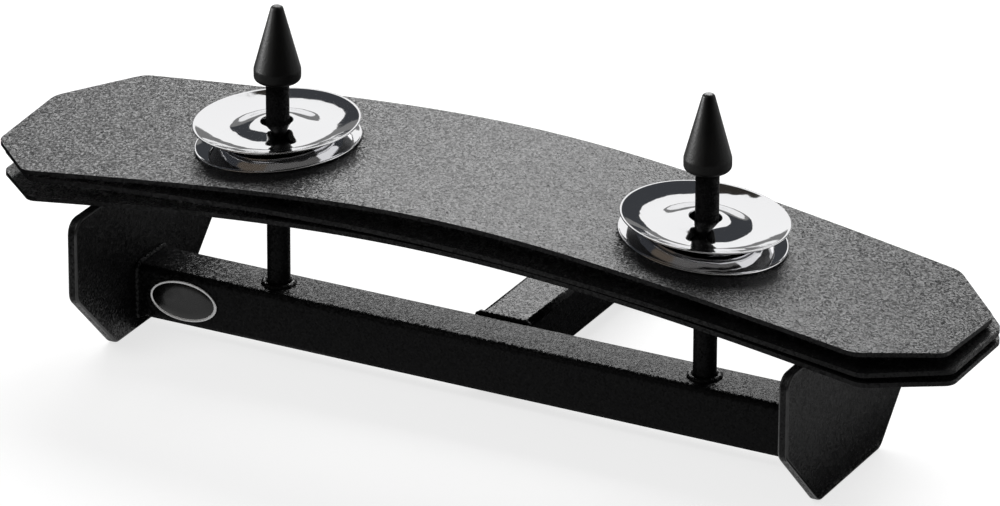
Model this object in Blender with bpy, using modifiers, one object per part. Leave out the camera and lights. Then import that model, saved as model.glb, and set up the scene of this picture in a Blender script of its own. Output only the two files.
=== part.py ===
"""Stand-mounted castanets with jingles.

Three arched steel plates lie loose on two upright rods and clap together when they are struck.
Two pairs of jingles ride on the top plate, under rubber stoppers.
A welded frame carries the stack: two side plates, a cross bar and a bar that runs back to a stand clamp.

The clapper lies along X, the stand bar runs back along +Y, and the side plates stand on Z = 0.
"""
import math

import bmesh
import bpy
from mathutils import Matrix, Vector

MM = 0.001

# Fit between neighbouring pieces
clearance = 0.3 * MM

# Clapper plates: one outline, three bends
clapper_length = 311.5 * MM
clapper_width = 73 * MM
clapper_thickness = 1.4 * MM
clapper_corner_cut = 20 * MM
clapper_corner_radius = 6 * MM
bottom_wing_slope = 0.19
bottom_bend = 112 * MM
bottom_lean = -0.0075
middle_wing_slope = 0.141
middle_bend = 106 * MM
middle_lean = -0.0202
top_wing_slope = 0.155
top_bend = 70 * MM
top_lean = -0.0147
top_twist = math.radians(-6.3)

# Rods and the play that the plates have on them
rod_spacing = 141 * MM
rod_diameter = 7 * MM
rod_hole_play = 1.3 * MM
rod_weld_leg = 0.9 * MM

# Square bars of the frame
bar_size = 17 * MM
bar_wall = 1.6 * MM
bar_corner_radius = 2 * MM
bar_above_floor = 4.3 * MM
rear_bar_length = 62 * MM
rear_weld_leg = 3.5 * MM

# Side plates
frame_width = 229.3 * MM
side_plate_thickness = 3.15 * MM
side_plate_depth = 86.2 * MM
side_plate_height = 48.1 * MM
side_plate_cut = 22.7 * MM
side_plate_corner_radius = 4.5 * MM
seat_length = 48 * MM
lowest_seat = 1 * MM

# Stand clamp at the end of the rear bar
clamp_length = 26 * MM
post_bore = 10 * MM
post_setback = 10 * MM
bolt_diameter = 8 * MM
bolt_stand_off = 3 * MM
hub_diameter = 12 * MM
hub_length = 9 * MM
wing_span = 29 * MM
wing_length = 15 * MM
wing_width = 6.5 * MM
wing_thickness = 3 * MM
wing_corner_radius = 2.4 * MM
wing_foot = 1 * MM

# Jingles, stamped with a raised middle and a turned-up rim
jingle_diameter = 50 * MM
jingle_thickness = 0.5 * MM
jingle_hole = 9.5 * MM
jingle_trough_diameter = 31 * MM
jingle_dome_rise = 2.3 * MM
jingle_rim_rise = 2.35 * MM
jingle_lip = 1.2 * MM
left_jingles_shift = 0.3 * MM
left_jingles_forward = 0.9 * MM
right_jingles_shift = -0.6 * MM
right_jingles_forward = 0.2 * MM
left_upper_lean = math.radians(2.4)
right_upper_lean = math.radians(2.2)

# Rubber stoppers and the room left for the stack to rattle
stopper_diameter = 14.1 * MM
stopper_length = 23.6 * MM
stopper_tip_diameter = 3.8 * MM
stopper_tip_radius = 0.8 * MM
stopper_band = 3.4 * MM
stopper_shoulder_radius = 2.2 * MM
stopper_socket = 12 * MM
rattle_room = 12.05 * MM

# How finely round and bent shapes are divided
arch_steps = 48
corner_steps = 5
round_steps = 32
jingle_steps = 40
jingle_stations = 5
rest_samples = 60

# Sizes that follow from those above
half_length = clapper_length / 2
half_width = clapper_width / 2
rod_x = rod_spacing / 2
rod_radius = rod_diameter / 2
rod_hole_radius = rod_radius + rod_hole_play
loose_shift = rod_hole_play - clearance
bar_middle_z = bar_above_floor + bar_size / 2
bar_top_z = bar_above_floor + bar_size
side_plate_outer_x = frame_width / 2 + side_plate_thickness
rear_bar_front_y = bar_size / 2 + clearance
rear_bar_end_y = rear_bar_front_y + rear_bar_length
clamp_front_y = rear_bar_end_y + clearance
clamp_end_y = clamp_front_y + clamp_length
post_y = clamp_front_y + post_setback
bolt_tip_y = post_y + post_bore / 2 + clearance
hub_front_y = clamp_end_y + bolt_stand_off
rear_reach = hub_front_y + wing_length
stack_y = (side_plate_depth / 2 - rear_reach) / 2
jingle_radius = jingle_diameter / 2
jingle_trough_radius = jingle_trough_diameter / 2
jingle_half_pair = clearance / 2 + jingle_rim_rise + jingle_thickness

# Axes in which flat outlines are drawn, and the direction they are extruded in
DRAWN_FROM_ABOVE = Matrix.Identity(4)
DRAWN_FROM_FRONT = Matrix.Rotation(math.radians(90), 4, "X")
DRAWN_FROM_SIDE = Matrix(((0, 0, 1, 0), (1, 0, 0, 0), (0, 1, 0, 0), (0, 0, 0, 1)))

# Turns a piece that stands along Z so that it points back along +Y
UP_TURNED_BACK = Matrix.Rotation(math.radians(-90), 4, "X")

BLACK_COAT = ((0.014, 0.014, 0.015, 1), 0.5, 0.0)
CHROME = ((0.9, 0.9, 0.9, 1), 0.06, 1.0)
RUBBER = ((0.012, 0.011, 0.01, 1), 0.7, 0.0)
ZINC = ((0.55, 0.55, 0.56, 1), 0.35, 1.0)


class Bend:
    """An arched sheet: straight wings, a rounded crown, and how it leans and twists at rest."""

    def __init__(self, slope, bend, lean=0.0, twist=0.0, shift=0.0):
        self.slope = slope
        self.bend = bend
        self.lean = lean
        self.twist = twist
        self.shift = shift

    def section(self, along):
        """Height of the underside, measured from the crown, at a distance along the plate."""
        return self.lean * along - self.slope * (math.hypot(along, self.bend) - self.bend)

    def height(self, x, y):
        """Height of the underside where it lies, with its twist and its shift on the rods."""
        along = x - self.shift
        return self.section(along) + y * self.twist * along / clapper_length


bottom_bent = Bend(bottom_wing_slope, bottom_bend, bottom_lean, shift=loose_shift)
middle_bent = Bend(middle_wing_slope, middle_bend, middle_lean, shift=loose_shift)
top_bent = Bend(top_wing_slope, top_bend, top_lean, top_twist, shift=-loose_shift)


def half_width_at(x):
    """Half the clapper's width at x, inside its cut corners."""
    past_cut = abs(x) - (half_length - clapper_corner_cut)
    return half_width - max(0.0, past_cut)


def rest_on(upper, lower, lower_crown):
    """Crown height at which one bent plate just clears the plate below it."""
    lifts = []
    for step in range(rest_samples + 1):
        x = half_length * (2 * step / rest_samples - 1)
        for y in (-half_width_at(x), half_width_at(x)):
            lifts.append(lower.height(x, y) - upper.height(x, y))
    return lower_crown + clapper_thickness + clearance + max(lifts)


def fall_to_side_plate(direction):
    """How far the bottom plate falls from its crown to the side plate on its left or right."""
    return -bottom_bent.height(direction * side_plate_outer_x, 0)


longest_fall = max(fall_to_side_plate(-1), fall_to_side_plate(1))
bottom_crown = side_plate_height + lowest_seat + clearance + longest_fall
middle_crown = rest_on(middle_bent, bottom_bent, bottom_crown)
top_crown = rest_on(top_bent, middle_bent, middle_crown)


def top_surface(x, y):
    """Height of the top plate's upper face."""
    return top_crown + clapper_thickness + top_bent.height(x, y)


class Seat:
    """Where a pair of jingles lies on the top plate, and how far its upper jingle leans back to level."""

    def __init__(self, x, y, upper_lean):
        self.x = x
        self.y = y
        self.slope_x = (top_surface(x + MM, y) - top_surface(x - MM, y)) / (2 * MM)
        self.slope_y = (top_surface(x, y + MM) - top_surface(x, y - MM)) / (2 * MM)
        lifts = []
        for step in range(rest_samples):
            angle = math.tau * step / rest_samples
            along = jingle_radius * math.cos(angle)
            across = jingle_radius * math.sin(angle)
            plane = self.slope_x * along + self.slope_y * across
            lifts.append(top_surface(x + along, y + across) - plane)
        self.middle_z = max(lifts) + clearance + jingle_half_pair
        tilt = math.atan(self.slope_x)
        self.upper_lean = math.copysign(upper_lean, tilt)
        self.upper_lift = jingle_trough_radius * math.sin(upper_lean) / math.cos(tilt)
        upper_top = self.middle_z + self.upper_lift + jingle_half_pair
        self.top_z = upper_top + math.tan(abs(tilt - self.upper_lean)) * stopper_diameter / 2

    def tilt(self):
        """Rotation that lays a jingle on the plate."""
        normal = Vector((-self.slope_x, -self.slope_y, 1))
        return normal.to_track_quat("Z", "Y").to_matrix().to_4x4()

    def lean(self):
        """Rotation by which the upper jingle leans back to level, on the uphill side of the trough."""
        return Matrix.Rotation(self.upper_lean, 4, "Y")


seats = {
    "left": Seat(left_jingles_shift - rod_x, -left_jingles_forward, left_upper_lean),
    "right": Seat(right_jingles_shift + rod_x, -right_jingles_forward, right_upper_lean),
}
stopper_z = max(seat.top_z for seat in seats.values()) + rattle_room


def start_clean():
    """Empty the scene, then add the frame that every piece is placed in."""
    for old in list(bpy.data.objects):
        bpy.data.objects.remove(old, do_unlink=True)
    frame = bpy.data.objects.new("castanets_frame", None)
    frame.location = (0, stack_y, 0)
    for name in ("castanets", "cutters"):
        collection = bpy.data.collections.new(name)
        bpy.context.scene.collection.children.link(collection)
    bpy.data.collections["castanets"].objects.link(frame)
    return frame


frame = start_clean()


def add_piece(name, mesh, place, finish, rotation=None):
    """A named sub-part with its own finish, placed in the frame."""
    piece = bpy.data.objects.new(name, mesh)
    bpy.data.collections["castanets"].objects.link(piece)
    piece.parent = frame
    piece.matrix_local = Matrix.Translation(place) @ (rotation or Matrix.Identity(4))
    colour, roughness, metallic = finish
    material = bpy.data.materials.new(name + "_finish")
    material.use_nodes = True
    shader = material.node_tree.nodes["Principled BSDF"]
    shader.inputs["Base Color"].default_value = colour
    shader.inputs["Roughness"].default_value = roughness
    shader.inputs["Metallic"].default_value = metallic
    mesh.materials.clear()
    mesh.materials.append(material)
    return piece


def add_cutter(name, mesh, place, rotation=None):
    """A hidden shape that is cut from, kept from or joined to a piece."""
    cutter = bpy.data.objects.new(name, mesh)
    bpy.data.collections["cutters"].objects.link(cutter)
    cutter.parent = frame
    cutter.matrix_local = Matrix.Translation(place) @ (rotation or Matrix.Identity(4))
    cutter.hide_render = True
    cutter.display_type = "WIRE"
    return cutter


def combine(piece, cutter, operation):
    """Boolean of a piece with a cutter."""
    modifier = piece.modifiers.new(cutter.name, "BOOLEAN")
    modifier.operation = operation
    modifier.solver = "EXACT"
    modifier.object = cutter


def shade_round(piece):
    """Smooth shading with crisp edges."""
    piece.data.shade_smooth()
    piece.data.set_sharp_from_angle(angle=math.radians(35))


def rounded(corners, closed=True):
    """Outline through corners given as x, y and radius, each rounded by an arc."""
    points = []
    for index, (x, y, radius) in enumerate(corners):
        here = Vector((x, y))
        is_end = not closed and index in (0, len(corners) - 1)
        if radius == 0 or is_end:
            points.append(here)
            continue
        to_last = (Vector(corners[index - 1][:2]) - here).normalized()
        to_next = (Vector(corners[(index + 1) % len(corners)][:2]) - here).normalized()
        half_angle = to_last.angle(to_next) / 2
        centre = here + (to_last + to_next).normalized() * radius / math.sin(half_angle)
        reach = radius / math.tan(half_angle)
        first = here + to_last * reach - centre
        last = here + to_next * reach - centre
        for step in range(corner_steps + 1):
            points.append(centre + first.slerp(last, step / corner_steps) * radius)
    return points


def square_outline(size, radius):
    """Rounded square about the origin."""
    half = size / 2
    corners = [(-half, -half), (half, -half), (half, half), (-half, half)]
    return rounded([(x, y, radius) for x, y in corners])


def prism(name, outlines, depth, drawn):
    """Mesh of flat outlines, extruded half the depth to either side of the plane they are drawn in."""
    curve = bpy.data.curves.new(name, "CURVE")
    curve.dimensions = "2D"
    curve.fill_mode = "BOTH"
    curve.extrude = depth / 2
    for outline in outlines:
        spline = curve.splines.new("POLY")
        spline.points.add(len(outline) - 1)
        spline.use_cyclic_u = True
        for point, (x, y) in zip(spline.points, outline):
            point.co = (x, y, 0, 1)
    drawing = bpy.data.objects.new(name, curve)
    bpy.data.collections["castanets"].objects.link(drawing)
    evaluated = drawing.evaluated_get(bpy.context.evaluated_depsgraph_get())
    mesh = bpy.data.meshes.new_from_object(evaluated)
    bpy.data.objects.remove(drawing)
    solid = bmesh.new()
    solid.from_mesh(mesh)
    bmesh.ops.remove_doubles(solid, verts=solid.verts, dist=0.001 * MM)
    bmesh.ops.recalc_face_normals(solid, faces=solid.faces)
    solid.to_mesh(mesh)
    solid.free()
    mesh.transform(drawn)
    return mesh


def cylinder(name, radius, length):
    """Mesh of a cylinder about Z, centred on the origin."""
    mesh = bpy.data.meshes.new(name)
    solid = bmesh.new()
    sizes = {"radius1": radius, "radius2": radius, "depth": length}
    bmesh.ops.create_cone(solid, cap_ends=True, segments=round_steps, **sizes)
    solid.to_mesh(mesh)
    solid.free()
    return mesh


def turn(piece, steps):
    """Turn a profile about the piece's own Z axis."""
    screw = piece.modifiers.new("turned", "SCREW")
    screw.axis = "Z"
    screw.steps = steps
    screw.render_steps = steps
    screw.use_merge_vertices = True
    screw.merge_threshold = 0.01 * MM
    screw.use_smooth_shade = True


def profile_mesh(name, points, closed):
    """Line of points in the XZ plane, to be turned."""
    mesh = bpy.data.meshes.new(name)
    edges = [(index, index + 1) for index in range(len(points) - 1)]
    if closed:
        edges.append((len(points) - 1, 0))
    mesh.from_pydata([(r, 0, z) for r, z in points], edges, [])
    return mesh


def clapper_outline():
    """Long octagon: a rectangle with its four corners cut."""
    flat_x = half_length - clapper_corner_cut
    flat_y = half_width - clapper_corner_cut
    corners = [
        (-flat_x, -half_width), (flat_x, -half_width), (half_length, -flat_y), (half_length, flat_y),
        (flat_x, half_width), (-flat_x, half_width), (-half_length, flat_y), (-half_length, -flat_y),
    ]
    return rounded([(x, y, clapper_corner_radius) for x, y in corners])


def add_clapper(name, bent, crown):
    """A clapper plate: an arched sheet, trimmed to its outline, bored for the rods and twisted."""
    trim = clapper_corner_cut
    underside = []
    for step in range(arch_steps + 1):
        along = (half_length + trim) * (2 * step / arch_steps - 1)
        underside.append((along, bent.section(along)))
    upper_side = [(along, z + clapper_thickness) for along, z in reversed(underside)]
    sheet = prism(name, [underside + upper_side], clapper_width + 2 * trim, DRAWN_FROM_FRONT)
    place = Vector((bent.shift, 0, crown))
    plate = add_piece(name, sheet, place, BLACK_COAT)
    outline = prism(name + "_outline", [clapper_outline()], clapper_length, DRAWN_FROM_ABOVE)
    combine(plate, add_cutter(name + "_outline", outline, place), "INTERSECT")
    for side in (-1, 1):
        bore = cylinder(name + "_bore", rod_hole_radius, clapper_length)
        combine(plate, add_cutter(name + "_bore", bore, place + Vector((side * rod_x, 0, 0))), "DIFFERENCE")
    if bent.twist:
        twist = plate.modifiers.new("twist", "SIMPLE_DEFORM")
        twist.deform_method = "TWIST"
        twist.deform_axis = "X"
        twist.angle = bent.twist


def add_side_plate(name, direction):
    """An upright plate with its lower corners cut and a raised seat that the bottom plate is welded on."""
    half_depth = side_plate_depth / 2
    foot = half_depth - side_plate_cut
    seat_z = bottom_crown - fall_to_side_plate(direction) - clearance
    seat_end = seat_length / 2
    seat_foot = seat_end + seat_z - side_plate_height
    radius = side_plate_corner_radius
    corners = [
        (-foot, 0, radius), (foot, 0, radius), (half_depth, side_plate_cut, radius),
        (half_depth, side_plate_height, radius), (seat_foot, side_plate_height, 0), (seat_end, seat_z, 0),
        (-seat_end, seat_z, 0), (-seat_foot, side_plate_height, 0), (-half_depth, side_plate_height, radius),
        (-half_depth, side_plate_cut, radius),
    ]
    mesh = prism(name, [rounded(corners)], side_plate_thickness, DRAWN_FROM_SIDE)
    x = direction * (frame_width + side_plate_thickness) / 2
    shade_round(add_piece(name, mesh, (x, 0, 0), BLACK_COAT))


def tube_outlines():
    """Section of the square tube: its outside and its bore."""
    inside_radius = max(bar_corner_radius - bar_wall, bar_wall / 4)
    return [
        square_outline(bar_size, bar_corner_radius),
        square_outline(bar_size - 2 * bar_wall, inside_radius),
    ]


def add_cross_bar():
    """Square tube between the side plates."""
    length = frame_width - 2 * clearance
    mesh = prism("cross_bar", tube_outlines(), length, DRAWN_FROM_SIDE)
    shade_round(add_piece("cross_bar", mesh, (0, 0, bar_middle_z), BLACK_COAT))


def add_rear_bar():
    """Square tube behind the cross bar, with a weld fillet down either side of its front end."""
    mesh = prism("rear_bar", tube_outlines(), rear_bar_length, DRAWN_FROM_FRONT)
    middle_y = rear_bar_front_y + rear_bar_length / 2
    bar = add_piece("rear_bar", mesh, (0, middle_y, bar_middle_z), BLACK_COAT)
    root = bar_size / 2 - bar_wall / 2
    fillet_height = bar_size - 2 * bar_corner_radius
    for side in (-1, 1):
        corners = [(side * root, 0), (side * (bar_size / 2 + rear_weld_leg), 0), (side * root, rear_weld_leg)]
        fillet = prism("rear_weld", [corners], fillet_height, DRAWN_FROM_ABOVE)
        combine(bar, add_cutter("rear_weld", fillet, (0, rear_bar_front_y, bar_middle_z)), "UNION")


def add_clamp():
    """Block on the end of the rear bar, bored for the stand post and for the bolt that grips it."""
    mesh = prism("clamp_block", [square_outline(bar_size, bar_corner_radius)], clamp_length, DRAWN_FROM_FRONT)
    middle_y = clamp_front_y + clamp_length / 2
    block = add_piece("clamp_block", mesh, (0, middle_y, bar_middle_z), BLACK_COAT)
    post = cylinder("post_bore", post_bore / 2, 2 * bar_size)
    combine(block, add_cutter("post_bore", post, (0, post_y, bar_middle_z)), "DIFFERENCE")
    thread = cylinder("bolt_bore", bolt_diameter / 2 + clearance, 2 * (clamp_end_y - post_y))
    thread_mouth = (0, clamp_end_y, bar_middle_z)
    combine(block, add_cutter("bolt_bore", thread, thread_mouth, UP_TURNED_BACK), "DIFFERENCE")


def add_wing_bolt():
    """Clamp bolt: a shank and a hub with two wings, on the hub's axis."""
    half_span = wing_span / 2
    hub_radius = hub_diameter / 2
    right_half = [
        (hub_radius, wing_foot), (half_span, hub_length / 2), (half_span, wing_length),
        (half_span - wing_width, wing_length), (hub_radius, hub_length),
    ]
    left_half = [(-x, z) for x, z in reversed(right_half)]
    wings = rounded([(x, z, wing_corner_radius) for x, z in right_half + left_half])
    mesh = prism("wing_bolt", [wings], wing_thickness, DRAWN_FROM_FRONT)
    axis_start = Vector((0, hub_front_y, bar_middle_z))
    bolt = add_piece("wing_bolt", mesh, axis_start, ZINC, UP_TURNED_BACK)
    hub = cylinder("wing_hub", hub_radius, hub_length)
    hub_middle = axis_start + Vector((0, hub_length / 2, 0))
    combine(bolt, add_cutter("wing_hub", hub, hub_middle, UP_TURNED_BACK), "UNION")
    shank_end_y = hub_front_y + hub_length / 2
    shank = cylinder("wing_shank", bolt_diameter / 2, shank_end_y - bolt_tip_y)
    shank_middle = Vector((0, (shank_end_y + bolt_tip_y) / 2, bar_middle_z))
    combine(bolt, add_cutter("wing_shank", shank, shank_middle, UP_TURNED_BACK), "UNION")


def add_rod(name, x):
    """Upright rod on the cross bar, flared at its foot by the weld."""
    foot_z = bar_top_z + clearance
    length = stopper_z + stopper_socket - clearance - foot_z
    profile = [
        (0, length), (rod_radius, length), (rod_radius, rod_weld_leg), (rod_radius + rod_weld_leg, 0), (0, 0),
    ]
    rod = add_piece(name, profile_mesh(name, profile, closed=False), (x, 0, foot_z), BLACK_COAT)
    turn(rod, round_steps)


def add_stopper(name, x):
    """Rubber cone with a blind socket for the end of its rod."""
    radius = stopper_diameter / 2
    socket_radius = rod_radius + clearance
    corners = [
        (0, stopper_length, 0),
        (stopper_tip_diameter / 2, stopper_length, stopper_tip_radius),
        (radius, stopper_band, stopper_band),
        (radius, 0, stopper_shoulder_radius),
        (socket_radius, 0, 0),
        (socket_radius, stopper_socket, 0),
        (0, stopper_socket, 0),
    ]
    profile = rounded(corners, closed=False)
    stopper = add_piece(name, profile_mesh(name, profile, closed=False), (x, 0, stopper_z), RUBBER)
    turn(stopper, round_steps)


def jingle_profile():
    """Closed section of an upper jingle, its trough resting on the middle of the pair."""
    hole_radius = jingle_hole / 2
    lip_start = jingle_radius - jingle_lip
    underside = []
    for step in range(jingle_stations):
        share = step / jingle_stations
        r = hole_radius + (jingle_trough_radius - hole_radius) * share
        underside.append((r, jingle_dome_rise * (1 + math.cos(math.pi * share)) / 2))
    for step in range(jingle_stations + 1):
        share = step / jingle_stations
        r = jingle_trough_radius + (lip_start - jingle_trough_radius) * share
        underside.append((r, jingle_rim_rise * (1 - math.cos(math.pi * share)) / 2))
    underside.append((jingle_radius, jingle_rim_rise))
    lower = [(r, z + clearance / 2) for r, z in underside]
    upper = [(r, z + jingle_thickness) for r, z in lower]
    return upper + lower[::-1]


def add_jingles(side, seat):
    """A pair of jingles, back to back, lying on the slope of the top plate."""
    lower_turn = seat.tilt() @ Matrix.Rotation(math.radians(180), 4, "X")
    upper_turn = seat.lean() @ seat.tilt()
    for level, lift, rotation in (("lower", 0, lower_turn), ("upper", seat.upper_lift, upper_turn)):
        name = f"{side}_{level}_jingle"
        mesh = profile_mesh(name, jingle_profile(), closed=True)
        jingle = add_piece(name, mesh, (seat.x, seat.y, seat.middle_z + lift), CHROME, rotation)
        turn(jingle, jingle_steps)


def main():
    """Build the frame, then the stack from the bottom up."""
    add_cross_bar()
    add_rear_bar()
    add_clamp()
    add_wing_bolt()
    for side, direction in (("left", -1), ("right", 1)):
        add_side_plate(side + "_side_plate", direction)
        add_rod(side + "_rod", direction * rod_x)
        add_stopper(side + "_stopper", direction * rod_x)
    add_clapper("bottom_clapper", bottom_bent, bottom_crown)
    add_clapper("middle_clapper", middle_bent, middle_crown)
    add_clapper("top_clapper", top_bent, top_crown)
    for side, seat in seats.items():
        add_jingles(side, seat)


main()
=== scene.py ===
"""Looks of the stand-mounted castanets: finishes, fine meshes, floor, light and camera."""

import math

import bmesh
import bpy
import numpy
from mathutils import Matrix, Vector


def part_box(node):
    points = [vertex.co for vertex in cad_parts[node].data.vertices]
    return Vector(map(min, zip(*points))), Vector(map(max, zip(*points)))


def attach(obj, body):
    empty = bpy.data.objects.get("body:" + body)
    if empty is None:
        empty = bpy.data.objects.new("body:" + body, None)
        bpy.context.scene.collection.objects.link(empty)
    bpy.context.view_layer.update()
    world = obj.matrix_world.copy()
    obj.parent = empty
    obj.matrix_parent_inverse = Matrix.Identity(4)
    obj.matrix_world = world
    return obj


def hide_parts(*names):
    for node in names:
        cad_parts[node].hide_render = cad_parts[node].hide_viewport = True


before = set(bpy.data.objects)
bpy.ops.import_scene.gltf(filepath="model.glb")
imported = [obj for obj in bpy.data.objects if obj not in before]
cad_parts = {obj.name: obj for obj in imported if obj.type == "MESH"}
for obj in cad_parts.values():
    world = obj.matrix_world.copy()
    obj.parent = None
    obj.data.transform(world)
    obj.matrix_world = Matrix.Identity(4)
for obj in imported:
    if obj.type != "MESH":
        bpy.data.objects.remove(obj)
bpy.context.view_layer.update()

MM = 0.001
IMAGE_WIDTH = 1000

# The photograph's camera, aimed near the foot of the rods
CAMERA_AZIMUTH = math.radians(27.45)
CAMERA_ELEVATION = math.radians(23.95)
CAMERA_ROLL = math.radians(0.22)
CAMERA_DISTANCE = 2549.4 * MM
CAMERA_RIGHT = 3.2 * MM
CAMERA_UP = 41.6 * MM
FOCAL_PIXELS = 8655.4
SENSOR_WIDTH = 36.0
CAMERA_FAR = 50.0

# Edges eased by the coat on the steel pieces
PLATE_EDGE = 0.35 * MM
SIDE_PLATE_EDGE = 0.7 * MM
CLAMP_EDGE = 0.6 * MM
WING_EDGE = 0.5 * MM
EDGE_SEGMENTS = 3
SHARP_ANGLE = math.radians(35)

# How near points are merged, and how flat neighbouring faces lie to count as one
CAD_MERGE = 0.002 * MM
CAD_FLATNESS = math.radians(0.1)
TURNED_MERGE = 0.001 * MM

# Jingles: the flat is a share of the dome's width, next to the hole
JINGLE_SHEET = 0.5 * MM
JINGLE_LIP = 0.6 * MM
JINGLE_FLAT = 0.02
JINGLE_STEPS = 128
JINGLE_STATIONS = 26
LIP_STATIONS = 4
EDGE_STATIONS = 5
HOLE_MARGIN = 0.1 * MM
POINT_DECIMALS = 7

# Rubber stoppers
STOPPER_RADIUS = 7.05 * MM
STOPPER_TIP = 2.0 * MM
STOPPER_TIP_ROUND = 1.2 * MM
STOPPER_BRIM = 3.5 * MM
STOPPER_BRIM_ROUND = 2.4 * MM
STOPPER_SHOULDER = 1.5 * MM
STOPPER_SOCKET = 3.65 * MM
STOPPER_SOCKET_DEPTH = 11.9 * MM
STOPPER_STEPS = 96
ARC_STEPS = 8

# Weld beads: the pitch of the ripples and the side of a square are in points of the path
BEAD_RADIUS = 0.95 * MM
BEAD_RIPPLE = 0.14
BEAD_PITCH = 4
BEAD_STEPS = 10
BEAD_SIDE = 30
BEAD_CORNER = 1.6 * MM
ROD_BEAD_POINTS = 48

# Bare oval badge on the front of the cross bar: the levels are shares of its thickness
BADGE_X = -98.3 * MM
BADGE_HALF_WIDTH = 11.4 * MM
BADGE_HALF_HEIGHT = 6.5 * MM
BADGE_THICKNESS = 0.5 * MM
BADGE_RIM = 0.7 * MM
BADGE_STEPS = 96
RIM_OUTER_LEVEL = 0.7
RIM_INNER_LEVEL = 0.75
FACE_FOOT_LEVEL = 0.4
FACE_EDGE_LEVEL = 0.8
FACE_CROWN = ((0.6, 0.92), (0.2, 1.0))

# Grain of the powder coat: pebbles to the metre, and how far each is tipped; then its gloss, and a duller
# gloss that paints the shade under the plates onto the cross bar
GRAIN_SCALE = 2100.0
GRAIN_TIP = 0.46
PLATE_SHINE = 0.12
SHADED_BAR_SHINE = 0.05

# Sockets of the Mix node that take and give colours
COLOUR_A = 6
COLOUR_B = 7
COLOUR_RESULT = 2


class Finish:
    """A node material round one Principled shader, textured in the object's own metres."""

    def __init__(self, name, **constants):
        self.material = bpy.data.materials.new(name)
        self.material.use_nodes = True
        self.tree = self.material.node_tree
        self.shader = self.tree.nodes["Principled BSDF"]
        self.place = self.node("ShaderNodeTexCoord").outputs["Object"]
        for socket, value in constants.items():
            self.shader.inputs[socket.replace("_", " ")].default_value = value

    def node(self, kind, inputs=None, **settings):
        """A new node, its inputs given as values or as the sockets that feed them."""
        made = self.tree.nodes.new(kind)
        for key, value in settings.items():
            setattr(made, key, value)
        for key, value in (inputs or {}).items():
            if isinstance(value, bpy.types.NodeSocket):
                self.tree.links.new(value, made.inputs[key])
            else:
                made.inputs[key].default_value = value
        return made

    def feed(self, socket, value):
        """Link a value to one of the shader's sockets."""
        self.tree.links.new(value, self.shader.inputs[socket])

    def noise(self, scale, detail=2.0, roughness=0.5, place=None):
        """Noise with about so many features to the metre."""
        inputs = {"Vector": place or self.place, "Scale": scale, "Detail": detail, "Roughness": roughness}
        return self.node("ShaderNodeTexNoise", inputs).outputs["Fac"]

    def spread(self, value, low=0.0, high=1.0, start=0.3, end=0.7):
        """A noise value stretched over a range."""
        inputs = {"Value": value, "From Min": start, "From Max": end, "To Min": low, "To Max": high}
        return self.node("ShaderNodeMapRange", inputs).outputs["Result"]

    def colours(self, value, dark, light):
        """A colour between two, by a value."""
        mix = self.node("ShaderNodeMix", data_type="RGBA")
        self.tree.links.new(value, mix.inputs["Factor"])
        mix.inputs[COLOUR_A].default_value = dark
        mix.inputs[COLOUR_B].default_value = light
        return mix.outputs[COLOUR_RESULT]

    def bump(self, height, depth, strength):
        """A bump of so many metres."""
        inputs = {"Height": height, "Distance": depth, "Strength": strength}
        return self.node("ShaderNodeBump", inputs).outputs["Normal"]


def powder_coat(name, shine):
    """Satin black powder coat: fine pebbles, each tipped its own way, over a faint orange peel."""
    finish = Finish(name, Specular_IOR_Level=shine)
    pebble = finish.node("ShaderNodeTexVoronoi", {"Vector": finish.place, "Scale": GRAIN_SCALE})
    chance = pebble.outputs["Color"]
    peel = finish.bump(finish.noise(scale=300), depth=0.03 * MM, strength=0.5)
    tip = finish.node("ShaderNodeVectorMath", {0: chance, 1: (0.5, 0.5, 0.5)}, operation="SUBTRACT")
    tip = finish.node("ShaderNodeVectorMath", {0: tip.outputs[0], "Scale": GRAIN_TIP}, operation="SCALE")
    tipped = finish.node("ShaderNodeVectorMath", {0: peel, 1: tip.outputs[0]}, operation="ADD")
    normal = finish.node("ShaderNodeVectorMath", {0: tipped.outputs[0]}, operation="NORMALIZE")
    finish.feed("Normal", normal.outputs[0])
    shade = finish.node("ShaderNodeSeparateColor", {0: chance}).outputs[0]
    finish.feed("Base Color", finish.colours(
        shade, dark=(0.002, 0.002, 0.0022, 1), light=(0.012, 0.012, 0.0125, 1)))
    finish.feed("Roughness", finish.spread(shade, low=0.44, high=0.34, start=0.0, end=1.0))
    return finish.material


def edge_coat():
    """The same coat drawn thin over an edge, where it is smoother and a little rubbed."""
    finish = Finish("edge_coat", Specular_IOR_Level=0.45)
    rub = finish.noise(scale=420, detail=3.0, roughness=0.65)
    finish.feed("Base Color", finish.colours(
        finish.spread(rub), dark=(0.005, 0.005, 0.0055, 1), light=(0.022, 0.022, 0.022, 1)))
    finish.feed("Roughness", finish.spread(rub, low=0.42, high=0.28))
    finish.feed("Normal", finish.bump(rub, depth=0.03 * MM, strength=0.6))
    return finish.material


def chrome():
    """Mirror chrome on stamped steel, a little wavy from the press."""
    finish = Finish("chrome", Metallic=1.0, Base_Color=(0.86, 0.86, 0.87, 1))
    wave = finish.noise(scale=120, detail=1.5)
    haze = finish.noise(scale=700, detail=3.0)
    finish.feed("Roughness", finish.spread(haze, low=0.04, high=0.08))
    finish.feed("Normal", finish.bump(wave, depth=0.3 * MM, strength=0.7))
    return finish.material


def satin_rim():
    """Satin bright metal round the badge."""
    finish = Finish("satin_rim", Metallic=1.0)
    streak = finish.noise(scale=1400, detail=3.0)
    finish.feed("Base Color", finish.colours(
        finish.spread(streak), dark=(0.38, 0.38, 0.38, 1), light=(0.56, 0.56, 0.56, 1)))
    finish.feed("Roughness", finish.spread(streak, low=0.26, high=0.4))
    return finish.material


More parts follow.
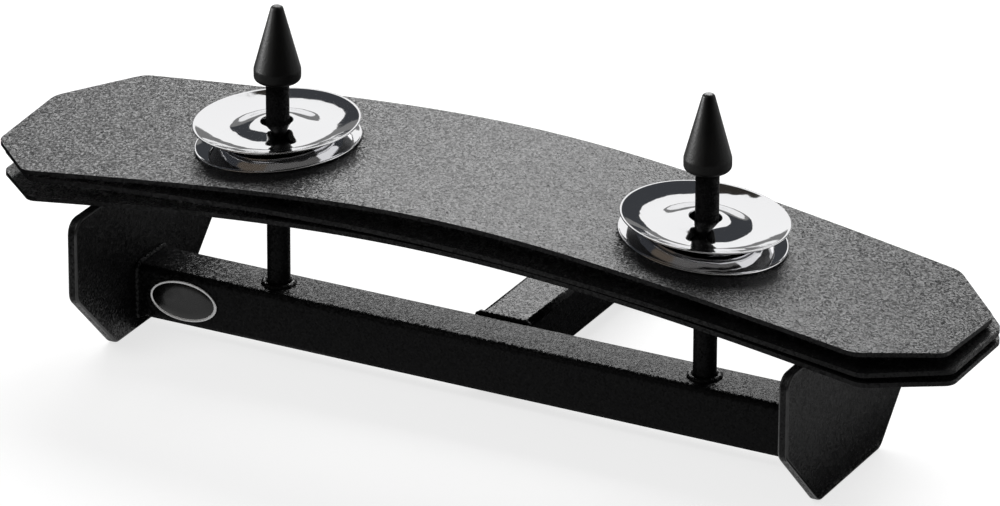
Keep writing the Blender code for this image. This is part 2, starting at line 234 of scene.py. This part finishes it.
def rubber():
    """Moulded black rubber with a matte skin."""
    finish = Finish("rubber", Specular_IOR_Level=0.19)
    skin = finish.noise(scale=1300, detail=3.0, roughness=0.65)
    dust = finish.noise(scale=70, detail=3.0)
    finish.feed("Base Color", finish.colours(
        finish.spread(dust), dark=(0.001, 0.001, 0.001, 1), light=(0.003, 0.0029, 0.0027, 1)))
    finish.feed("Roughness", finish.spread(dust, low=0.42, high=0.52))
    finish.feed("Normal", finish.bump(skin, depth=0.1 * MM, strength=0.8))
    return finish.material


def zinc():
    """Zinc plate with a faint drawn grain along the bolt."""
    finish = Finish("zinc", Metallic=1.0)
    streak_place = finish.node("ShaderNodeMapping", {"Vector": finish.place, "Scale": (1.0, 0.08, 1.0)})
    streak = finish.noise(scale=900, detail=3.0, place=streak_place.outputs["Vector"])
    patch = finish.noise(scale=120, detail=3.0)
    finish.feed("Base Color", finish.colours(
        finish.spread(patch), dark=(0.48, 0.48, 0.49, 1), light=(0.66, 0.66, 0.66, 1)))
    finish.feed("Roughness", finish.spread(streak, low=0.24, high=0.42))
    finish.feed("Normal", finish.bump(streak, depth=0.02 * MM, strength=0.4))
    return finish.material


def badge_enamel():
    """Glossy black enamel on the badge's face."""
    finish = Finish("badge_enamel", Specular_IOR_Level=0.4)
    speck = finish.noise(scale=500)
    finish.feed("Base Color", finish.colours(
        speck, dark=(0.004, 0.004, 0.004, 1), light=(0.009, 0.009, 0.009, 1)))
    finish.feed("Roughness", finish.spread(speck, low=0.2, high=0.32))
    return finish.material


# Pieces that two of the lamps leave out, and pieces that the third is there for
MIRRORS = bpy.data.collections.new("mirrors")
CONES = bpy.data.collections.new("cones")

COAT = powder_coat("powder_coat", PLATE_SHINE)
# Duller copy of the coat: painted shade on the cross bar under the plates, also used on the rods
SHADED_BAR_COAT = powder_coat("shaded_bar_coat", SHADED_BAR_SHINE)
EDGE_COAT = edge_coat()
CHROME = chrome()
RIM = satin_rim()
RUBBER = rubber()
ZINC = zinc()
ENAMEL = badge_enamel()


def dress(node, material, edge=None):
    """Finish a CAD node: its facets smoothed, its sharp edges eased, and its material."""
    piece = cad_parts[node]
    mesh = piece.data
    mesh.materials.clear()
    mesh.materials.append(material)
    mesh.materials.append(EDGE_COAT if edge and material == COAT else material)
    normals = mesh.attributes.get("custom_normal")
    if normals:
        mesh.attributes.remove(normals)
    mesh.shade_smooth()
    weld = piece.modifiers.new("weld", "WELD")
    weld.merge_threshold = CAD_MERGE
    planar = piece.modifiers.new("planar", "DECIMATE")
    planar.decimate_type = "DISSOLVE"
    planar.angle_limit = CAD_FLATNESS
    if edge:
        eased = piece.modifiers.new("eased", "BEVEL")
        eased.width = edge
        eased.segments = EDGE_SEGMENTS
        eased.limit_method = "ANGLE"
        eased.angle_limit = SHARP_ANGLE
        eased.material = 1
    weighted = piece.modifiers.new("weighted", "WEIGHTED_NORMAL")
    weighted.keep_sharp = True


def add_piece(name, mesh, material, body):
    """A new piece of the object, finished and riding on its body."""
    piece = bpy.data.objects.new(name, mesh)
    bpy.context.scene.collection.objects.link(piece)
    mesh.materials.clear()
    mesh.materials.append(material)
    mesh.shade_smooth()
    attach(piece, body)
    return piece


def turned(name, profile, steps, closed=True):
    """Mesh of radii and heights turned about Z; an open profile starts and ends on the axis."""
    spans = len(profile) if closed else len(profile) - 1
    solid = bmesh.new()
    rings = []
    for step in range(steps):
        angle = math.tau * step / steps
        across, along = math.cos(angle), math.sin(angle)
        rings.append([solid.verts.new((r * across, r * along, z)) for r, z in profile])
    for step in range(steps):
        here = rings[step]
        there = rings[(step + 1) % steps]
        for index in range(spans):
            after = (index + 1) % len(profile)
            solid.faces.new((here[index], here[after], there[after], there[index]))
    bmesh.ops.remove_doubles(solid, verts=solid.verts, dist=TURNED_MERGE)
    bmesh.ops.recalc_face_normals(solid, faces=solid.faces)
    mesh = bpy.data.meshes.new(name)
    solid.to_mesh(mesh)
    solid.free()
    return mesh


class Disc:
    """A jingle as it lies in the frame: its middle, its axis and its measures."""

    def __init__(self, node, facing_up):
        corners = [tuple(vertex.co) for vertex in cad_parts[node].data.vertices]
        points = numpy.unique(numpy.round(corners, POINT_DECIMALS), axis=0)
        middle = points.mean(axis=0)
        axis = numpy.linalg.eigh(numpy.cov((points - middle).T))[1][:, 0]
        if (axis[2] > 0) != facing_up:
            axis = -axis
        heights = (points - middle) @ axis
        radii = numpy.linalg.norm(points - middle - numpy.outer(heights, axis), axis=1)
        self.rim = radii.max()
        self.hole = radii.min()
        self.trough = radii[heights.argmin()]
        self.rim_rise = numpy.ptp(heights) - JINGLE_SHEET
        at_hole = radii < self.hole + HOLE_MARGIN
        self.dome_rise = heights[at_hole].min() - heights.min()
        self.place = Vector(middle + axis * heights.min())
        self.axis = Vector(axis)

    def matrix(self):
        """Where the disc's own Z axis and trough lie in the frame."""
        turn = self.axis.to_track_quat("Z", "Y").to_matrix().to_4x4()
        return Matrix.Translation(self.place) @ turn


def jingle_profile(disc):
    """Section of a jingle: a dome down to the trough, a wall that steepens, and a narrow lip."""
    half = JINGLE_SHEET / 2
    lip_start = disc.rim - JINGLE_LIP
    line = []
    for step in range(JINGLE_STATIONS):
        share = step / JINGLE_STATIONS
        r = disc.hole + half + (disc.trough - disc.hole - half) * share
        down = max(0.0, (share - JINGLE_FLAT) / (1 - JINGLE_FLAT))
        line.append((r, disc.dome_rise * (1 + math.cos(math.pi * down)) / 2))
    for step in range(JINGLE_STATIONS):
        share = step / JINGLE_STATIONS
        r = disc.trough + (lip_start - disc.trough) * share
        line.append((r, disc.rim_rise * (1 - math.cos(math.pi * share / 2))))
    for step in range(LIP_STATIONS + 1):
        share = step / LIP_STATIONS
        line.append((lip_start + (JINGLE_LIP - half) * share, disc.rim_rise))
    upper = [(r, z + JINGLE_SHEET) for r, z in line]
    rim_edge = []
    hole_edge = []
    for step in range(1, EDGE_STATIONS):
        angle = math.pi * (step / EDGE_STATIONS - 0.5)
        out = half * math.cos(angle)
        up = half * (1 + math.sin(angle))
        rim_edge.append((line[-1][0] + out, line[-1][1] + up))
        hole_edge.append((line[0][0] - out, line[0][1] + JINGLE_SHEET - up))
    return line + rim_edge + upper[::-1] + hole_edge


def add_jingles():
    """Fine turned meshes for the four jingles."""
    for side in ("left", "right"):
        for level in ("lower", "upper"):
            node = f"{side}_{level}_jingle"
            disc = Disc(node, facing_up=level == "upper")
            mesh = turned(node + "_chrome", jingle_profile(disc), JINGLE_STEPS)
            mesh.transform(disc.matrix())
            piece = add_piece(node + "_chrome", mesh, CHROME, f"{side}_{level}")
            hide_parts(node)
            MIRRORS.objects.link(piece)


def arc(middle, radius, start, end):
    """Points of a rounding between two angles in degrees."""
    points = []
    for step in range(ARC_STEPS + 1):
        angle = math.radians(start + (end - start) * step / ARC_STEPS)
        points.append((middle[0] + radius * math.cos(angle), middle[1] + radius * math.sin(angle)))
    return points


def stopper_profile(length):
    """Section of a stopper: a blunt tip, a straight cone, a rounded brim and a socket."""
    lean = math.degrees(math.atan2(STOPPER_RADIUS - STOPPER_TIP, length - STOPPER_BRIM))
    tip = (STOPPER_TIP - STOPPER_TIP_ROUND, length - STOPPER_TIP_ROUND)
    brim = (STOPPER_RADIUS - STOPPER_BRIM_ROUND, STOPPER_BRIM)
    shoulder = (STOPPER_RADIUS - STOPPER_SHOULDER, STOPPER_SHOULDER)
    return [
        (0, length),
        *arc(tip, STOPPER_TIP_ROUND, 90, lean),
        *arc(brim, STOPPER_BRIM_ROUND, lean, 0),
        *arc(shoulder, STOPPER_SHOULDER, 0, -90),
        (STOPPER_SOCKET, 0),
        (STOPPER_SOCKET, STOPPER_SOCKET_DEPTH),
        (0, STOPPER_SOCKET_DEPTH),
    ]


def add_stoppers():
    """Fine turned meshes for the two rubber stoppers."""
    for side in ("left", "right"):
        node = side + "_stopper"
        low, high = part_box(node)
        mesh = turned(node + "_rubber", stopper_profile(high.z - low.z), STOPPER_STEPS, closed=False)
        mesh.transform(Matrix.Translation(((low.x + high.x) / 2, (low.y + high.y) / 2, low.z)))
        piece = add_piece(node + "_rubber", mesh, RUBBER, "frame")
        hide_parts(node)
        CONES.objects.link(piece)


def bead_mesh(name, path):
    """A weld bead with ripples along a closed path round the Z axis."""
    solid = bmesh.new()
    rings = []
    for index, (x, y) in enumerate(path):
        before = Vector(path[index - 1])
        after = Vector(path[(index + 1) % len(path)])
        along = (after - before).normalized()
        out = Vector((along.y, -along.x))
        ripple = BEAD_RADIUS * (1 + BEAD_RIPPLE * math.sin(math.tau * index / BEAD_PITCH))
        ring = []
        for step in range(BEAD_STEPS):
            angle = math.tau * step / BEAD_STEPS
            reach = ripple * math.cos(angle)
            rise = ripple * math.sin(angle)
            ring.append(solid.verts.new((x + out.x * reach, y + out.y * reach, rise)))
        rings.append(ring)
    for index, ring in enumerate(rings):
        following = rings[(index + 1) % len(rings)]
        for step in range(BEAD_STEPS):
            beside = (step + 1) % BEAD_STEPS
            solid.faces.new((ring[step], ring[beside], following[beside], following[step]))
    bmesh.ops.recalc_face_normals(solid, faces=solid.faces)
    mesh = bpy.data.meshes.new(name)
    solid.to_mesh(mesh)
    solid.free()
    return mesh


def square_path(half, corner):
    """Points round a square with rounded corners."""
    straight = half - corner
    points = []
    for turn in range(4):
        across, along = math.cos(math.radians(90 * turn)), math.sin(math.radians(90 * turn))
        side = [(half, -straight + 2 * straight * step / BEAD_SIDE) for step in range(BEAD_SIDE)]
        bend = arc((straight, straight), corner, 0, 90)[:-1]
        for x, y in side + bend:
            points.append((x * across - y * along, x * along + y * across))
    return points


def add_welds():
    """Weld beads at the ends of the cross bar, behind it, and round the feet of the rods."""
    low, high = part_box("cross_bar")
    rear_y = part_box("rear_bar")[0].y
    half = (high.z - low.z) / 2
    middle_y = (low.y + high.y) / 2
    middle_z = (low.z + high.z) / 2
    round_bar = square_path(half, BEAD_CORNER)
    upright = Matrix.Rotation(math.radians(90), 4, "Y")
    facing_back = Matrix.Rotation(math.radians(90), 4, "X")
    beads = {
        "left_bar_weld": (round_bar, Matrix.Translation((low.x, middle_y, middle_z)) @ upright),
        "right_bar_weld": (round_bar, Matrix.Translation((high.x, middle_y, middle_z)) @ upright),
        "rear_bar_weld": (round_bar, Matrix.Translation((0, rear_y, middle_z)) @ facing_back),
    }
    for side in ("left", "right"):
        rod_low, rod_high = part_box(side + "_rod")
        radius = (rod_high.x - rod_low.x) / 2
        angles = [math.tau * step / ROD_BEAD_POINTS for step in range(ROD_BEAD_POINTS)]
        round_rod = [(radius * math.cos(angle), radius * math.sin(angle)) for angle in angles]
        foot = Matrix.Translation((rod_low.x + radius, rod_low.y + radius, high.z))
        beads[side + "_rod_weld"] = (round_rod, foot)
    for name, (path, place) in beads.items():
        mesh = bead_mesh(name, path)
        mesh.transform(place)
        add_piece(name, mesh, COAT, "frame")


def oval(half_width, half_height, z):
    """Points of an ellipse at a height."""
    angles = [math.tau * step / BADGE_STEPS for step in range(BADGE_STEPS)]
    return [(half_width * math.cos(angle), half_height * math.sin(angle), z) for angle in angles]


def lofted(name, loops):
    """Solid mesh through closed loops of equal counts."""
    solid = bmesh.new()
    rows = [[solid.verts.new(point) for point in loop] for loop in loops]
    for row, above in zip(rows, rows[1:]):
        for index in range(len(row)):
            after = (index + 1) % len(row)
            solid.faces.new((row[index], row[after], above[after], above[index]))
    solid.faces.new(rows[-1])
    solid.faces.new(rows[0][::-1])
    bmesh.ops.recalc_face_normals(solid, faces=solid.faces)
    mesh = bpy.data.meshes.new(name)
    solid.to_mesh(mesh)
    solid.free()
    return mesh


def add_badge():
    """Bare oval badge on the front of the cross bar: a satin rim round a plain enamelled face."""
    low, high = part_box("cross_bar")
    middle = Matrix.Translation((BADGE_X, low.y, (low.z + high.z) / 2))
    on_front = middle @ Matrix.Rotation(math.radians(90), 4, "X")
    ring_width = BADGE_HALF_WIDTH - BADGE_RIM
    ring_height = BADGE_HALF_HEIGHT - BADGE_RIM
    crown = BADGE_RIM / 3
    rim_loops = [
        oval(BADGE_HALF_WIDTH, BADGE_HALF_HEIGHT, 0),
        oval(BADGE_HALF_WIDTH, BADGE_HALF_HEIGHT, BADGE_THICKNESS * RIM_OUTER_LEVEL),
        oval(BADGE_HALF_WIDTH - crown, BADGE_HALF_HEIGHT - crown, BADGE_THICKNESS),
        oval(ring_width + crown, ring_height + crown, BADGE_THICKNESS),
        oval(ring_width, ring_height, BADGE_THICKNESS * RIM_INNER_LEVEL),
    ]
    face_loops = [
        oval(ring_width, ring_height, BADGE_THICKNESS * FACE_FOOT_LEVEL),
        oval(ring_width - crown, ring_height - crown, BADGE_THICKNESS * FACE_EDGE_LEVEL),
    ]
    for share, level in FACE_CROWN:
        face_loops.append(oval(ring_width * share, ring_height * share, BADGE_THICKNESS * level))
    for name, loops, material, slot in (
        ("badge_rim", rim_loops, RIM, "chrome"),
        ("badge_face", face_loops, ENAMEL, "black_coat"),
    ):
        mesh = lofted(name, loops)
        mesh.transform(on_front)
        add_piece(name, mesh, material, "frame")


def dress_frame():
    """Finishes of the CAD nodes that keep their own shape."""
    for node in ("bottom_clapper", "middle_clapper", "top_clapper"):
        dress(node, COAT, PLATE_EDGE)
    for node in ("left_side_plate", "right_side_plate"):
        dress(node, COAT, SIDE_PLATE_EDGE)
    # The cross bar and the rods take the duller coat, which paints in the shade under the plates
    dress("cross_bar", SHADED_BAR_COAT)
    dress("rear_bar", COAT)
    dress("clamp_block", COAT, CLAMP_EDGE)
    dress("wing_bolt", ZINC, WING_EDGE)
    for side in ("left", "right"):
        dress(side + "_rod", SHADED_BAR_COAT)


# Floor and room
FLOOR_SIZE = 12.0
FLOOR_DROP = 0.05 * MM
FLOOR_GLOW = 0.74
FLOOR_GREY = (0.36, 0.36, 0.36, 1)
WORLD_FILL = 0.15

# Stage round the object: bearings and elevations in degrees, distances in metres
STAGE_AIM = Vector((0, -0.04, 0.05))
SOFTBOX_DISTANCE = 1.75
LAMP_BEARING = -18
LAMP_ELEVATION = 33
LAMP_SPREAD = (27, 16)
LAMP_RADIANCE = 11.5
FRONT_BEARING = -150
FRONT_ELEVATION = 50
FRONT_SIZE = (0.8, 0.7)
FRONT_RADIANCE = 6.0
CONE_LAMP_BEARING = -108
CONE_LAMP_ELEVATION = 14
CONE_LAMP_DISTANCE = 1.25
CONE_LAMP_SIZE = (0.45, 0.5)
CONE_LAMP_RADIANCE = 60.0

# Cards that only show in the object's gloss, and the oval window that they leave behind the object
WINDOW_BEARING = -28
WINDOW_ELEVATION = 38
WINDOW_SPREAD = (26, 23)
FLAG_DISTANCE = 1.4
FLAG_STEPS = 12
FLAG_FOOT = -1
BLACK_FLAG = (0.008, 0.008, 0.008, 1)
WARM_FLAG = (0.03, 0.027, 0.024, 1)
COOL_FLAG = (0.045, 0.048, 0.054, 1)
TAN_FLAG = (0.12, 0.1, 0.08, 1)
SOFT_FLAG = (0.13, 0.127, 0.123, 1)
DIM_FLAG = (0.2, 0.2, 0.2, 1)
PALE_FLAG = (0.5, 0.5, 0.5, 1)

# Cards round the window, each between two angles about its middle
SURROUND_REACH = (60, 53)
ZENITH = 90
SURROUNDS = {
    "right_surround": ((-62, 50), COOL_FLAG),
    "upper_surround": ((50, 130), WARM_FLAG),
    "left_surround": ((130, 242), COOL_FLAG),
    "lower_surround": ((242, 298), DIM_FLAG),
}

# Cards on the other sides, each between two bearings and two elevations
FLAGS = {
    "front_flag": ((80, 190), (FLAG_FOOT, 20), BLACK_FLAG),
    "front_high_flag": ((80, 190), (20, 57), SOFT_FLAG),
    "front_left_flag": ((190, 236), (FLAG_FOOT, 57), TAN_FLAG),
    "left_flag": ((236, 272), (FLAG_FOOT, 57), COOL_FLAG),
    "overhead_front_flag": ((80, 272), (57, ZENITH), WARM_FLAG),
}

# Cards on the floor, each from its low corner to its high corner
TABLE_CARDS = {
    "left_under_card": ((-0.1146, -0.044), (-0.085, 0.3), BLACK_FLAG),
    "middle_under_card": ((-0.085, -0.044), (-0.05, 0.3), PALE_FLAG),
    "under_card": ((-0.05, -0.044), (0.1146, 0.3), BLACK_FLAG),
    "left_card": ((-1.2, -0.3), (-0.17, 0.9), BLACK_FLAG),
    "right_card": ((0.118, -0.09), (0.132, 0.3), BLACK_FLAG),
    "far_right_card": ((0.132, -0.09), (0.36, 0.3), PALE_FLAG),
    "front_card": ((-1.0, -1.5), (1.4, -0.3), BLACK_FLAG),
}


def seen_directly(tree):
    """1 for rays from the camera, off gloss or through glass, 0 for the light on matt surfaces."""
    path = tree.nodes.new("ShaderNodeLightPath")
    total = path.outputs["Is Camera Ray"]
    for ray in ("Is Glossy Ray", "Is Transmission Ray"):
        larger = tree.nodes.new("ShaderNodeMath")
        larger.operation = "MAXIMUM"
        tree.links.new(total, larger.inputs[0])
        tree.links.new(path.outputs[ray], larger.inputs[1])
        total = larger.outputs[0]
    return total


def scaled(tree, value, low, high):
    """Value 0 to 1 as low to high."""
    stretch = tree.nodes.new("ShaderNodeMapRange")
    stretch.inputs["To Min"].default_value = low
    stretch.inputs["To Max"].default_value = high
    tree.links.new(value, stretch.inputs["Value"])
    return stretch.outputs["Result"]


def add_floor():
    """Plain pale floor that takes the object's soft shadow."""
    material = bpy.data.materials.new("floor")
    material.use_nodes = True
    tree = material.node_tree
    tree.nodes.clear()
    diffuse = tree.nodes.new("ShaderNodeBsdfDiffuse")
    diffuse.inputs["Color"].default_value = FLOOR_GREY
    glow = tree.nodes.new("ShaderNodeEmission")
    tree.links.new(scaled(tree, seen_directly(tree), 0.0, FLOOR_GLOW), glow.inputs["Strength"])
    both = tree.nodes.new("ShaderNodeAddShader")
    tree.links.new(diffuse.outputs[0], both.inputs[0])
    tree.links.new(glow.outputs[0], both.inputs[1])
    output = tree.nodes.new("ShaderNodeOutputMaterial")
    tree.links.new(both.outputs[0], output.inputs["Surface"])
    mesh = bpy.data.meshes.new("floor")
    plane = bmesh.new()
    bmesh.ops.create_grid(plane, x_segments=1, y_segments=1, size=FLOOR_SIZE / 2)
    plane.to_mesh(mesh)
    plane.free()
    mesh.materials.append(material)
    floor = bpy.data.objects.new("floor", mesh)
    floor.location.z = -FLOOR_DROP
    bpy.context.scene.collection.objects.link(floor)


def add_world():
    """White room: full white where it is seen, softer where it only lights."""
    world = bpy.data.worlds.new("studio")
    bpy.context.scene.world = world
    world.use_nodes = True
    tree = world.node_tree
    background = tree.nodes["Background"]
    background.inputs["Color"].default_value = (1, 1, 1, 1)
    tree.links.new(scaled(tree, seen_directly(tree), WORLD_FILL, 1.0), background.inputs["Strength"])


def round_stage(bearing, elevation, distance):
    """A point round the object: bearing clockwise from straight behind, elevation above level."""
    level = distance * math.cos(math.radians(elevation))
    return STAGE_AIM + Vector((
        level * math.sin(math.radians(bearing)),
        level * math.cos(math.radians(bearing)),
        distance * math.sin(math.radians(elevation)),
    ))


def face_object(lamp, place):
    """Stand a lamp at a point, turned to the object."""
    lamp.location = place
    lamp.rotation_euler = (STAGE_AIM - place).to_track_quat("-Z", "Y").to_euler()
    bpy.context.scene.collection.objects.link(lamp)


def span(angle, distance):
    """Full width of what spreads by so many degrees to either side at a distance."""
    return 2 * distance * math.tan(math.radians(angle))


def add_softbox(name, place, size, radiance, receivers):
    """Soft oval lamp that looks at the object and lights its receivers."""
    lamp = bpy.data.lights.new(name, "AREA")
    lamp.shape = "ELLIPSE"
    lamp.size, lamp.size_y = size
    lamp.energy = radiance * math.pi * (math.pi / 4 * size[0] * size[1])
    softbox = bpy.data.objects.new(name, lamp)
    face_object(softbox, place)
    softbox.light_linking.receiver_collection = receivers


def add_card(name, rows, grey):
    """A plain card through rows of points, which only glossy surfaces show."""
    material = bpy.data.materials.new(name)
    material.use_nodes = True
    tree = material.node_tree
    tree.nodes.clear()
    shade = tree.nodes.new("ShaderNodeEmission")
    shade.inputs["Color"].default_value = grey
    output = tree.nodes.new("ShaderNodeOutputMaterial")
    tree.links.new(shade.outputs[0], output.inputs["Surface"])
    sheet = bmesh.new()
    points = [[sheet.verts.new(point) for point in row] for row in rows]
    for below, above in zip(points, points[1:]):
        for side in range(len(below) - 1):
            sheet.faces.new((below[side], below[side + 1], above[side + 1], above[side]))
    mesh = bpy.data.meshes.new(name)
    sheet.to_mesh(mesh)
    sheet.free()
    mesh.materials.append(material)
    card = bpy.data.objects.new(name, mesh)
    bpy.context.scene.collection.objects.link(card)
    card.visible_camera = False
    card.visible_diffuse = False
    card.visible_shadow = False


def add_flag(name, bearings, elevations, grey):
    """A card curved round the object, between two bearings and two elevations."""
    shares = [step / FLAG_STEPS for step in range(FLAG_STEPS + 1)]
    rows = []
    for up in shares:
        elevation = elevations[0] + (elevations[1] - elevations[0]) * up
        across = [bearings[0] + (bearings[1] - bearings[0]) * share for share in shares]
        rows.append([round_stage(bearing, elevation, FLAG_DISTANCE) for bearing in across])
    add_card(name, rows, grey)


def add_surround(name, angles, grey):
    """A card from the oval window's edge outwards, between two angles round it."""
    rows = []
    for out in range(FLAG_STEPS + 1):
        share = out / FLAG_STEPS
        row = []
        for step in range(FLAG_STEPS + 1):
            angle = math.radians(angles[0] + (angles[1] - angles[0]) * step / FLAG_STEPS)
            across, up = math.cos(angle), math.sin(angle)
            edge = (WINDOW_BEARING + WINDOW_SPREAD[0] * across, WINDOW_ELEVATION + WINDOW_SPREAD[1] * up)
            reach = 1 / max(abs(across) / SURROUND_REACH[0], abs(up) / SURROUND_REACH[1])
            far_bearing = WINDOW_BEARING + reach * across
            far_elevation = min(ZENITH, max(FLAG_FOOT, WINDOW_ELEVATION + reach * up))
            bearing = edge[0] + (far_bearing - edge[0]) * share
            elevation = edge[1] + (far_elevation - edge[1]) * share
            row.append(round_stage(bearing, elevation, FLAG_DISTANCE))
        rows.append(row)
    add_card(name, rows, grey)


def add_table_card(name, low, high, grey):
    """A card that lies on the floor."""
    rows = [[(low[0], y, 0), (high[0], y, 0)] for y in (low[1], high[1])]
    add_card(name, rows, grey)


def light_stage():
    """Three lamps that the chrome doesn't mirror, and the cards that it does."""
    for mirror in MIRRORS.collection_objects:
        mirror.light_linking.link_state = "EXCLUDE"
    lamp = round_stage(LAMP_BEARING, LAMP_ELEVATION, SOFTBOX_DISTANCE)
    lamp_size = [span(angle, SOFTBOX_DISTANCE) for angle in LAMP_SPREAD]
    add_softbox("back_lamp", lamp, lamp_size, LAMP_RADIANCE, MIRRORS)
    front = round_stage(FRONT_BEARING, FRONT_ELEVATION, SOFTBOX_DISTANCE)
    add_softbox("front_lamp", front, FRONT_SIZE, FRONT_RADIANCE, MIRRORS)
    cone_lamp = round_stage(CONE_LAMP_BEARING, CONE_LAMP_ELEVATION, CONE_LAMP_DISTANCE)
    add_softbox("cone_lamp", cone_lamp, CONE_LAMP_SIZE, CONE_LAMP_RADIANCE, CONES)
    for name, (angles, grey) in SURROUNDS.items():
        add_surround(name, angles, grey)
    for name, (bearings, elevations, grey) in FLAGS.items():
        add_flag(name, bearings, elevations, grey)
    for name, (low, high, grey) in TABLE_CARDS.items():
        add_table_card(name, low, high, grey)


def add_camera():
    """The photograph's viewpoint, from the angles and the focal length found in it."""
    rod_low, rod_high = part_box("left_rod")
    stack_y = (rod_low.y + rod_high.y) / 2
    across = math.cos(CAMERA_ELEVATION)
    back = Vector((
        math.sin(CAMERA_AZIMUTH) * across,
        -math.cos(CAMERA_AZIMUTH) * across,
        math.sin(CAMERA_ELEVATION),
    ))
    level_right = Vector((math.cos(CAMERA_AZIMUTH), math.sin(CAMERA_AZIMUTH), 0))
    roll = Matrix.Rotation(CAMERA_ROLL, 3, back)
    right = roll @ level_right
    up = roll @ back.cross(level_right)
    camera = bpy.data.cameras.new("camera")
    camera.sensor_width = SENSOR_WIDTH
    camera.lens = FOCAL_PIXELS * SENSOR_WIDTH / IMAGE_WIDTH
    camera.clip_end = CAMERA_FAR
    eye = bpy.data.objects.new("camera", camera)
    axes = Matrix((right, up, back)).transposed().to_4x4()
    place = Vector((0, stack_y, 0)) + right * CAMERA_RIGHT + up * CAMERA_UP + back * CAMERA_DISTANCE
    eye.matrix_world = Matrix.Translation(place) @ axes
    bpy.context.scene.collection.objects.link(eye)
    bpy.context.scene.camera = eye


dress_frame()
add_jingles()
add_stoppers()
add_welds()
add_badge()
add_floor()
add_world()
light_stage()
add_camera()
bpy.context.scene.view_settings.view_transform = "Standard"
